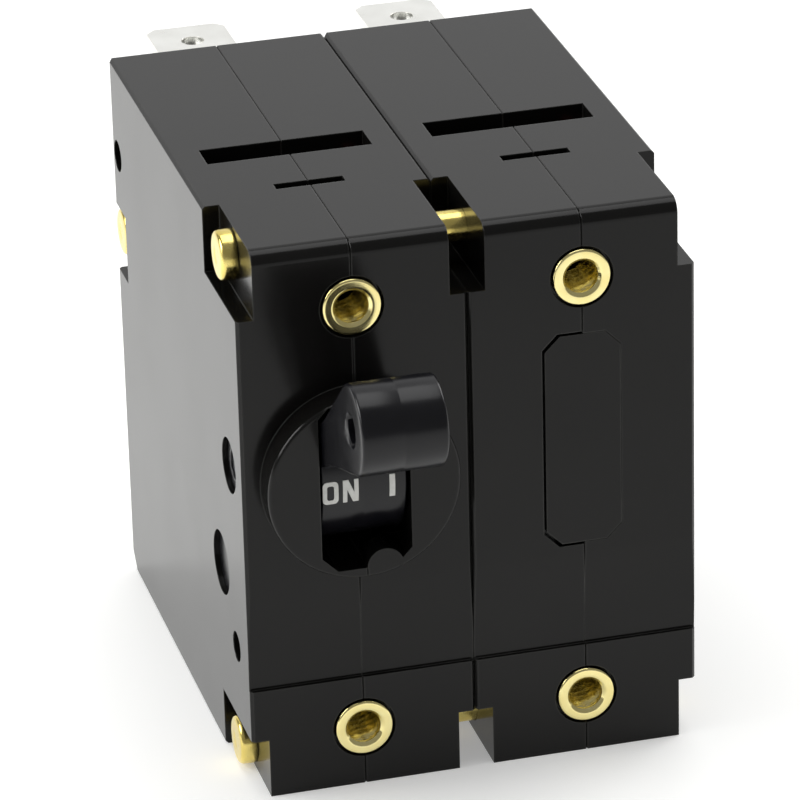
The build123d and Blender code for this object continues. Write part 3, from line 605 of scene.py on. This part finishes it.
@dataclass
class CaseRivets(SubAssembly):
    """Brass rivets through both poles: a flat head on the left, a rolled end on the right."""

    seats: tuple[tuple[float, float], ...] = ((6.3, 46.05), (6.3, 2.3), (43.8, 33.0))
    pole_width: float = 19.0 * MM
    relief: float = 1.44 * MM
    head_radius: float = 2.1 * MM
    head_height: float = 1.4 * MM
    shank_radius: float = 1.3 * MM
    rolled_radius: float = 1.5 * MM
    rolled_height: float = 0.45 * MM
    segments: int = 72

    def section(self, seat: float) -> Array:
        """Open section (across, radius), from the head's crown along the shank to the rolled end.

        Args:
            seat: distance from the row's middle to the floor of an outer relief.

        Returns:
            The section's points.
        """
        crown, r = -seat - self.head_height, self.head_radius
        end, rolled = seat + self.rolled_height, self.rolled_radius
        return fillet_profile([
            (crown + 0.06 * MM, 0.02 * MM, 0), (crown + 0.06 * MM, 0.55 * MM, 0.12 * MM),
            (crown, 0.85 * MM, 0.2 * MM), (crown + 0.01 * MM, r - 0.05 * MM, 0.42 * MM),
            (-seat - 0.3 * MM, r, 0.3 * MM), (-seat, r - 0.04 * MM, 0.08 * MM),
            (-seat, self.shank_radius, 0.05 * MM), (seat, self.shank_radius, 0.05 * MM),
            (seat, rolled, 0.08 * MM), (end - 0.04 * MM, rolled - 0.05 * MM, 0.2 * MM),
            (end, 0.62 * rolled, 0.25 * MM), (end - 0.35 * MM, 0.3 * rolled, 0.15 * MM),
            (end - 0.4 * MM, 0.02 * MM, 0)])

    def build(self, pole_pitch: float, face_y: float) -> None:
        """Places the three rivets.

        Args:
            pole_pitch: distance between the poles' middles.
            face_y: y of the front face.
        """
        seat = (pole_pitch + self.pole_width) / 2 - self.relief
        for where, (y, z) in zip(("top", "base", "back"), self.seats):
            centre = np.array((0, face_y + y * MM, z * MM))
            shell = turned(self.section(seat), 0, centre, self.segments)
            self.mount(shell, f"rivet_{where}", "rivet_brass", "case", "case_rivets")


@dataclass
class ToggleHandle(SubAssembly):
    """Nylon handle at ON: a lever, the drum behind the slot, the hub with its trunnions, and a crank."""

    half: float = 3.5 * MM
    reach: float = 19.6 * MM
    on_angle: float = radians(30)
    tip_radius: float = 3.7 * MM
    shoulder: float = radians(78)
    neck_half: float = 1.8 * MM
    tie_bore: float = 1.4 * MM
    drum_radius: float = 6.9 * MM
    drum_above: float = radians(41)
    drum_below: float = radians(78)
    hub_radius: float = 2.9 * MM
    trunnion_radius: float = 2.3 * MM
    trunnion_end: float = 9.1 * MM
    rod_bore: float = 1.2 * MM
    crank_half: float = 1.6 * MM
    crank_pin_radius: float = 0.75 * MM

    def out(self, pivot: Array, points: Array) -> Array:
        """(distance out along the lever, height above its middle) points to (y, z)."""
        along = np.array((-cos(self.on_angle), sin(self.on_angle)))
        above = np.array((sin(self.on_angle), cos(self.on_angle)))
        return pivot[1:] + points[:, :1] * along + points[:, 1:] * above

    def lever_outline(self) -> Array:
        """Round tip, then straight tapering sides to the blend and a parallel neck; a closed loop."""
        r, c = self.tip_radius, self.reach
        arc = np.linspace(pi - self.shoulder, self.shoulder - pi, 72)
        tip = np.stack([c + r * np.cos(arc), r * np.sin(arc)], 1)
        root = self.hub_radius * 0.9
        side = fillet_profile([(tip[-1, 0], tip[-1, 1], 0), (c / 2, -self.neck_half, 1.2 * MM),
                               (root, -self.neck_half, 0)], 9)
        fill = np.linspace(0, 1, 12)[1:-1, None]
        flank = np.vstack([side[:1] * (1 - fill) + side[1:2] * fill, side[1:]])
        end = np.stack([np.full(5, root), np.linspace(-self.neck_half, self.neck_half, 7)[1:-1]], 1)
        return np.vstack([tip, flank, end, (flank * (1, -1))[::-1]])

    def drum_outline(self) -> Array:
        """Sector of the drum: its arc from below to above the lever, and two sides; a closed loop."""
        a = np.linspace(-self.drum_below, self.drum_above, 80)
        arc = self.drum_radius * np.stack([np.cos(a), np.sin(a)], 1)
        t = np.linspace(0, 1, 12)[1:, None]
        heart = np.array([[0.0, 0.0]])
        return np.vstack([arc, arc[-1] * (1 - t) + heart * t, (arc[:1] * t + heart * (1 - t))[:-1]])

    def build(self, pivot: Array, crank_pin: Array) -> None:
        """Builds the handle's four mouldings.

        Args:
            pivot: a point on the trunnions' axis, at the handle's middle.
            crank_pin: centre of the crank's pin.
        """
        tip = self.out(pivot, np.array([[self.reach, 0]]))[0]
        rim = rounded_rim(self.half, 0.32 * MM, 0.02 * MM)
        lever = swept_plate(self.out(pivot, self.lever_outline()), tip, rim, pivot[0], self.tie_bore)
        middle = (self.drum_above - self.drum_below) / 2
        core = self.out(pivot, 0.55 * self.drum_radius * np.array([[cos(middle), sin(middle)]]))[0]
        drum = swept_plate(self.out(pivot, self.drum_outline()), core,
                           rounded_rim(self.half, 0.12 * MM, 0.01 * MM), pivot[0], 0)
        hub = fillet_profile([
            (0, self.rod_bore, 0), (self.trunnion_end, self.rod_bore, 0.15 * MM),
            (self.trunnion_end, self.trunnion_radius, 0.3 * MM), (self.half, self.trunnion_radius, 0.1 * MM),
            (self.half, self.hub_radius, 0.1 * MM), (0, self.hub_radius, 0)])
        hub = np.vstack([hub, (hub * (-1, 1))[::-1][1:-1]])
        trunnion = turned(hub, 0, pivot, 72, True)
        a = np.linspace(0, 2 * pi, 48, endpoint=False)
        lobe = np.stack([np.cos(a), np.sin(a)], 1) * 2 * self.crank_pin_radius
        away = crank_pin[1:] - pivot[1:]
        root = np.where((lobe @ away < 0)[:, None], 1.6 * lobe - 0.62 * away, lobe)
        crank = swept_plate(crank_pin[1:] + root, crank_pin[1:], rounded_rim(self.crank_half, 0.1 * MM),
                            pivot[0], self.crank_pin_radius)
        for name, shell in (("lever", lever), ("drum", drum), ("trunnion", trunnion), ("crank", crank)):
            self.mount(shell, f"handle_{name}", "handle_nylon", "handle", "handle")


@dataclass
class MagnetCoils(SubAssembly):
    """Heavy enamelled winding on each bobbin."""

    outer_radius: float = 6.2 * MM
    sleeve_radius: float = 4.25 * MM
    turns: int = 14
    points_each_turn: int = 12
    segments: int = 72

    def build(self, poles: tuple[int, ...]) -> None:
        """Winds each pole's coil: radius R - d/2 + sqrt(d^2/4 - s^2) over a wire of pitch d that climbs."""
        for pole in poles:
            low, high = (np.array(c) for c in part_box(f"coil_{pole}"))
            centre, span = (low + high) / 2, high[1] - low[1]
            pitch = span / self.turns
            a = np.linspace(-span / 2, span / 2, self.turns * self.points_each_turn + 1)
            f = np.linspace(0, 2 * pi, self.segments, endpoint=False)[None]
            s = (np.mod(a[:, None] / pitch - f / (2 * pi), 1) - 0.5) * pitch
            r = self.outer_radius - pitch / 2 + np.sqrt(np.maximum(pitch ** 2 / 4 - s ** 2, 0))
            sleeve = np.full((1, self.segments), self.sleeve_radius)
            r = np.vstack([sleeve, np.maximum(r, self.sleeve_radius + 0.3 * MM), sleeve])
            y = np.concatenate([a[:1], a, a[-1:]])[:, None] + 0 * f
            grid = centre + np.stack([r * np.cos(f), y, r * np.sin(f)], -1)
            self.mount(Shell.from_grid(grid, y[:, 0], True), f"winding_{pole}", "enamelled_wire", "case",
                       f"coil_{pole}")


@dataclass
class ArmBraids(SubAssembly):
    """Flexible copper braid from each contact arm round to its coil."""

    radius: float = 0.62 * MM
    relief: float = 0.06 * MM
    strands: int = 8
    pitch: float = 7.0 * MM
    route: tuple[tuple[float, float, float], ...] = (
        (0, 29.4, 26.2), (0, 34.0, 26.2), (5.6, 35.2, 24.0), (5.6, 35.2, 15.9))
    bend: float = 1.9 * MM

    def centreline(self) -> Array:
        """The route with its corners rounded as (1 - t)^2 p + 2 t (1 - t) c + t^2 q, evenly spaced."""
        spot = np.array(self.route) * MM
        t = np.linspace(0, 1, 16)[:, None]
        made = [spot[:1]]
        for k in (1, 2):
            legs = spot[[k - 1, k + 1]] - spot[k]
            p, q = spot[k] + legs * (self.bend / np.linalg.norm(legs, axis=1, keepdims=True))
            made.append((1 - t) ** 2 * p + 2 * t * (1 - t) * spot[k] + t ** 2 * q)
        line = np.vstack(made + [spot[-1:]])
        even = np.linspace(0, travelled(line)[-1], 260)
        return np.stack([np.interp(even, travelled(line), line[:, k]) for k in range(3)], 1)

    def build(self, pole_pitch: float, face_y: float) -> None:
        """Lays a braid in each pole.

        Args:
            pole_pitch: distance between the poles' middles.
            face_y: y of the front face.
        """
        for pole, x in ((1, -pole_pitch / 2), (2, pole_pitch / 2)):
            path = self.centreline() + (x, face_y, 0)
            shell = woven_tube(path, self.radius, self.relief, self.strands, self.pitch, 64)
            self.mount(shell, f"flexible_braid_{pole}", "copper_braid", "case", f"braid_{pole}")


@dataclass
class PushSprings(SubAssembly):
    """Compression springs for each core and each armature."""

    core_wire: float = 0.2 * MM
    core_turns: int = 9
    core_travel: float = 8.5 * MM
    armature_wire: float = 0.15 * MM
    armature_turns: int = 4
    armature_travel: float = 1.5 * MM
    points_each_turn: int = 36
    segments: int = 12

    def wind(self, low: Array, high: Array, wire: float, turns: int) -> Shell:
        """Winds wire inside a box: centreline (R cos t, L t / T, R sin t), ringed by n cos f + b sin f.

        Args:
            low: lowest corner of the spring's box.
            high: highest corner.
            wire: radius of the wire.
            turns: whole turns.

        Returns:
            The spring's shell.
        """
        radius, span = (high[0] - low[0]) / 2 - wire, high[1] - low[1] - 2 * wire
        t = np.linspace(0, 2 * pi * turns, turns * self.points_each_turn + 1)
        out = np.stack([np.cos(t), 0 * t, np.sin(t)], -1)
        path = (low + high) / 2 + radius * out
        path[:, 1] = low[1] + wire + span * t / t[-1]
        tangent = np.gradient(path, axis=0)
        tangent /= np.linalg.norm(tangent, axis=1, keepdims=True)
        up = np.cross(out, tangent)
        f = np.linspace(0, 2 * pi, self.segments, endpoint=False)[None, :, None]
        grid = path[:, None] + wire * (np.cos(f) * out[:, None] + np.sin(f) * up[:, None])
        return Shell.from_grid(grid, travelled(path), False)

    def build(self, poles: tuple[int, ...]) -> None:
        """Winds each pole's two springs."""
        for pole in poles:
            for part, joint, wire, turns, travel, still in (
                    ("core", "slide", self.core_wire, self.core_turns, self.core_travel, 0),
                    ("armature", "close", self.armature_wire, self.armature_turns, self.armature_travel, 1)):
                node = f"{part}_spring_{pole}"
                box = [np.array(corner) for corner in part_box(node)]
                shell = self.wind(*box, wire, turns)
                spring = self.mount(shell, f"{part}_helix_{pole}", "spring_wire", "case", node)
                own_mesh(spring)


@dataclass
class CadPieces(SubAssembly):
    """CAD nodes whose own shape is shown, each in its slot's finish."""

    def build(self, subparts: list[dict], nodes: dict[str, bpy.types.Object]) -> None:
        """Dresses every CAD node that nothing stands for.

        Args:
            subparts: the record's subparts, which give each node's slot.
            nodes: the frame's CAD nodes.
        """
        slots = {part["node"]: part["material_slot"] for part in subparts}
        for name, node in nodes.items():
            node.data.materials.clear()
            node.data.materials.append(self.materials[slots[name]])
            if not node.hide_render:
                self.made.append(name)


# Studio -------------------------------------------------------------------------------
@dataclass(frozen=True)
class SoftLight:
    """A square soft box: where it stands, what it points at, its size and its power."""

    name: str
    place: tuple[float, float, float]
    size: float
    watts: float
    target: tuple[float, float, float] = (0.0, 0.0, 0.024)

    def hang(self) -> None:
        """Adds the soft box to the scene, facing its target."""
        data = bpy.data.lights.new(self.name, "AREA")
        data.shape, data.size, data.energy = "SQUARE", self.size, self.watts
        lamp = bpy.data.objects.new(self.name, data)
        aim = Vector(self.target) - Vector(self.place)
        lamp.matrix_world = Matrix.Translation(self.place) @ aim.to_track_quat("-Z", "Y").to_matrix().to_4x4()
        bpy.context.scene.collection.objects.link(lamp)


@dataclass(frozen=True)
class Studio:
    """Pale floor, white surround, soft boxes and the camera."""

    surround: float = 0.25
    floor_glow: float = 0.3
    floor_half: float = 3.0
    floor_tiles: int = 8
    lights: tuple[SoftLight, ...] = (
        SoftLight("overhead_box", (0.0, 0.15, 1.2), 0.9, 6.2),
        SoftLight("back_wall", (0.0, 1.7, 1.0), 2.4, 11.5, (0.0, 0.0, 0.3)),
        SoftLight("left_box", (-0.2, 0.01, 0.13), 0.12, 0.3, (-0.03, 0.0, 0.0)),
        SoftLight("right_box", (0.5, 0.2, 0.4), 0.4, 2.0, (0.08, 0.03, 0.0)),
    )
    camera_place: tuple[float, float, float] = (-0.10554, -0.40549, 0.21720)
    azimuth: float = radians(-14.55)
    elevation: float = radians(24.74)
    roll: float = radians(-1.5)
    lens: float = 245.5

    def floor(self) -> None:
        """Lays the floor, a flat sheet of white laminate lit faintly from beneath."""
        white = Finish("white_laminate", "", ("E6E6E4", "EFEFED"), 0.55, Surface.MOULDED, mottle_mm=400,
                       grain_mm=3, depth_mm=0.01, edge_mm=1.0, wear_and_highlight_share=0.0).build()
        shader = next(node for node in white.node_tree.nodes if node.type == "BSDF_PRINCIPLED")
        shader.inputs["Emission Color"].default_value = linear("FFFFFF")
        shader.inputs["Emission Strength"].default_value = self.floor_glow
        side = self.floor_tiles + 1
        steps = np.linspace(-self.floor_half, self.floor_half, side)
        x, y = np.meshgrid(steps, steps)
        points = np.stack([x, y, np.zeros_like(x)], -1).reshape(-1, 3)
        i, j = np.meshgrid(np.arange(self.floor_tiles), np.arange(self.floor_tiles))
        first = (i * side + j).ravel()
        tiles = np.stack([first, first + 1, first + side + 1, first + side], 1)
        mesh = bpy.data.meshes.new("studio_floor")
        mesh.from_pydata(points.tolist(), [], tiles.tolist())
        mesh.materials.append(white)
        obj = bpy.data.objects.new("studio_floor", mesh)
        bpy.context.scene.collection.objects.link(obj)

    def camera(self) -> None:
        """Sets the camera from azimuth a, elevation e and roll; back = (sin a cos e, -cos a cos e, sin e)."""
        a, e = self.azimuth, self.elevation
        back = Vector((sin(a) * cos(e), -cos(a) * cos(e), sin(e)))
        level = Vector((cos(a), sin(a), 0))
        right = cos(self.roll) * level + sin(self.roll) * back.cross(level)
        data = bpy.data.cameras.new("studio_camera")
        data.lens, data.sensor_width, data.clip_start = self.lens, 36.0, 0.01
        camera = bpy.data.objects.new("studio_camera", data)
        turn = Matrix((right, back.cross(right), back)).transposed().to_4x4()
        camera.matrix_world = Matrix.Translation(self.camera_place) @ turn
        bpy.context.scene.collection.objects.link(camera)
        bpy.context.scene.camera = camera

    def build(self) -> None:
        """Sets the whole studio up."""
        scene = bpy.context.scene
        scene.view_settings.view_transform = "Standard"
        scene.world = bpy.data.worlds.new("white_surround")
        scene.world.use_nodes = True
        sky = scene.world.node_tree.nodes["Background"]
        sky.inputs["Color"].default_value = linear("FFFFFF")
        sky.inputs["Strength"].default_value = self.surround
        self.floor()
        for light in self.lights:
            light.hang()
        self.camera()


def corners(box: tuple[Vector, Vector]) -> list[list[float]]:
    """A box's two corners as plain lists."""
    return [list(corner) for corner in box]


def main() -> None:
    """Builds the pieces round the frame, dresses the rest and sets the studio."""
    logging.basicConfig(level=logging.INFO, format="%(name)s: %(message)s")
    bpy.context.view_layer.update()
    record = frame["record"]
    mounts = {mount["name"]: mount for mount in record["mounts"]}
    screws = mounts["panel_screws"]
    pitch, face_y = screws["dims"]["spacing_x_mm"] * MM, screws["pos_m"][1]
    toggle = next(joint for joint in frame["joints"] if joint["name"] == "handle_toggle")
    low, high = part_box("crank_pins")
    pivot = np.array(toggle["pos_m"])
    crank_pin = np.array((low + high) / 2)
    crank_pin[0] = pivot[0]
    materials = {finish.slot: finish.build() for finish in FINISHES}
    work = (
        (PanelInserts(materials), (screws,)),
        (CaseRivets(materials), (pitch, face_y)),
        (ToggleHandle(materials), (pivot, crank_pin)),
        (MagnetCoils(materials), ((1, 2),)),
        (ArmBraids(materials), (pitch, face_y)),
        (PushSprings(materials), ((1, 2),)),
        (CadPieces(materials), (record["subparts"], frame["nodes"])),
    )
    for assembly, given in work:
        assembly.build(*given)
        LOG.info("%s: %s", type(assembly).__name__, ", ".join(assembly.made))
    Studio().build()


if __name__ == "__main__":
    main()
